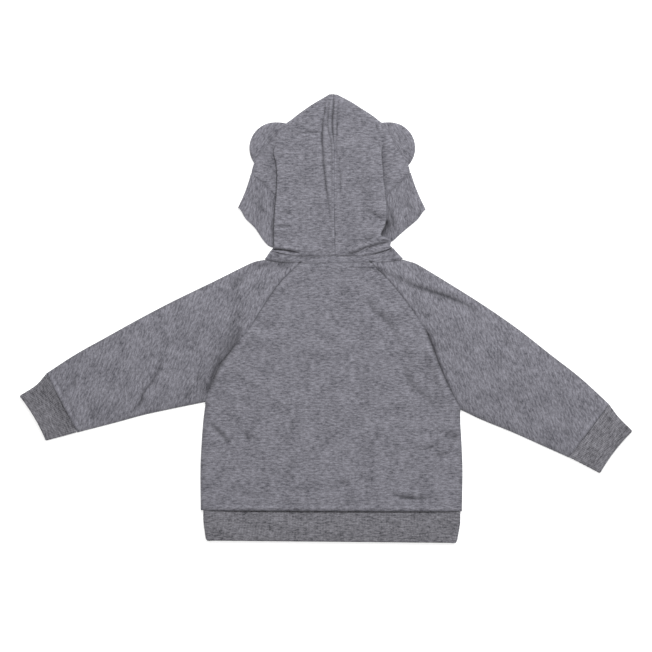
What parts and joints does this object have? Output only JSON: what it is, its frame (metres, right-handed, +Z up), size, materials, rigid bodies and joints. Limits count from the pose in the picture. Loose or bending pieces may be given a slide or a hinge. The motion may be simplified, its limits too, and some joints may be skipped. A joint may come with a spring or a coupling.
{
  "type": "toddler's hooded raglan pullover with round ears, laid flat",
  "caption": "Raglan pullover in marl fleece knit with rib cuffs and hem band and a hood with round ears, laid flat on its front with the back up",
  "frame": {"origin": "the centre of the base of the whole outline, on the surface that the garment lies on", "axes": "+Z up from the surface, +Y towards the hood's peak, +X towards the sleeve that lies at the right when seen from above"},
  "size_m": [0.7609, 0.5593, 0.0066],
  "materials": {
    "fleece": "grey marl fleece knit, matt, with a fine short nap",
    "rib": "grey marl rib knit, matt, doubled"
  },
  "bodies": {
    "root": {"back_panel": "fleece", "front_panel": "fleece", "left_sleeve": "fleece", "right_sleeve": "fleece", "left_cuff": "rib", "right_cuff": "rib", "hem_band": "rib", "neck_strip": "fleece", "hood_left": "fleece", "hood_right": "fleece", "hood_band": "fleece", "left_ear_back": "fleece", "left_ear_front": "fleece", "right_ear_back": "fleece", "right_ear_front": "fleece"}
  },
  "joints": []
}
